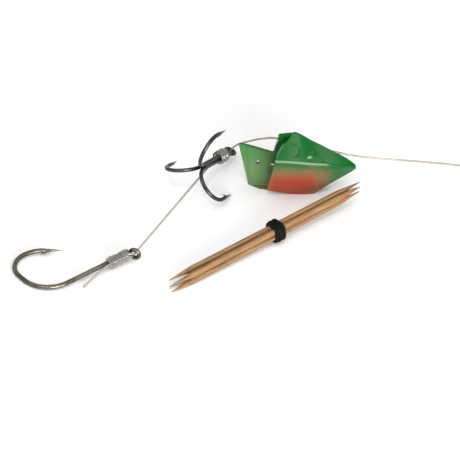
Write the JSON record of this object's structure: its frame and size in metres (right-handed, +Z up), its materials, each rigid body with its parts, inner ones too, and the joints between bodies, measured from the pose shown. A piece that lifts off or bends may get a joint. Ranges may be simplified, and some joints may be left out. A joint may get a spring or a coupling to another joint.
{
  "type": "bait helmet trolling rig",
  "caption": "Bait helmet on a clear leader with a snelled treble, a trailing single hook and a banded bundle of wooden bait pins.",
  "frame": {"origin": "on the helmet's flat keel, in the plane of the ridge, where the helmet stands on the table", "axes": "+Z up from the table, +X towards the helmet's nose, +Y towards the side that the leader leaves the helmet on"},
  "size_m": [0.15, 0.0681, 0.021],
  "materials": {
    "helmet_plastic": "translucent moulded plastic, green above and red below",
    "mono_line": "clear nylon monofilament",
    "treble_steel": "black nickel",
    "hook_steel": "dull nickel",
    "braze": "brazed joint, plated over",
    "wood": "plain birch",
    "band_rubber": "black, dull"
  },
  "bodies": {
    "helmet": {"bait_helmet": "helmet_plastic"},
    "leader": {"leader_line": "mono_line", "leader_coil": "mono_line", "leader_knot": "mono_line", "leader_loop": "mono_line"},
    "treble": {"treble_double_hook": "treble_steel", "treble_third_hook": "treble_steel", "treble_braze": "braze", "treble_snell": "mono_line", "trace_line": "mono_line"},
    "single_hook": {"trailing_hook": "hook_steel", "hook_snell": "mono_line", "hook_snell_line": "mono_line", "hook_tag_end": "mono_line"},
    "band": {"rubber_band": "band_rubber"},
    "pin_1": {"toothpick_1": "wood"},
    "pin_2": {"toothpick_2": "wood"},
    "pin_3": {"toothpick_3": "wood"},
    "pin_4": {"toothpick_4": "wood"}
  },
  "joints": [
    {"name": "leader_slide", "type": "slide", "parent": "helmet", "child": "leader", "axis": [0.9277, -0.3726, -0.0247], "range_m": [-0.001, 0.001]},
    {"name": "treble_swing", "type": "hinge", "parent": "leader", "child": "treble", "pos_m": [-0.0171, 0.015, 0.0028], "axis": [0.3823, 0.1865, 0.905], "range_deg": [-30, 5]},
    {"name": "hook_swing", "type": "hinge", "parent": "treble", "child": "single_hook", "pos_m": [-0.04291, -0.02951, 0.00209], "axis": [0, 0, 1], "range_deg": [-40, 30]},
    {"name": "bundle_slide", "type": "slide", "parent": "helmet", "child": "band", "axis": [0, -1, 0], "range_m": [0, 0.06]},
    {"name": "pin_1_slide", "type": "slide", "parent": "band", "child": "pin_1", "axis": [0.7823, 0.6212, 0.0454], "range_m": [0, 0.03]},
    {"name": "pin_2_slide", "type": "slide", "parent": "band", "child": "pin_2", "axis": [0.7845, 0.6185, 0.0454], "range_m": [0, 0.03]},
    {"name": "pin_3_slide", "type": "slide", "parent": "band", "child": "pin_3", "axis": [0.7893, 0.6123, 0.0454], "range_m": [-0.03, 0]},
    {"name": "pin_4_slide", "type": "slide", "parent": "band", "child": "pin_4", "axis": [0.7941, 0.6061, 0.0454], "range_m": [-0.03, 0]}
  ]
}
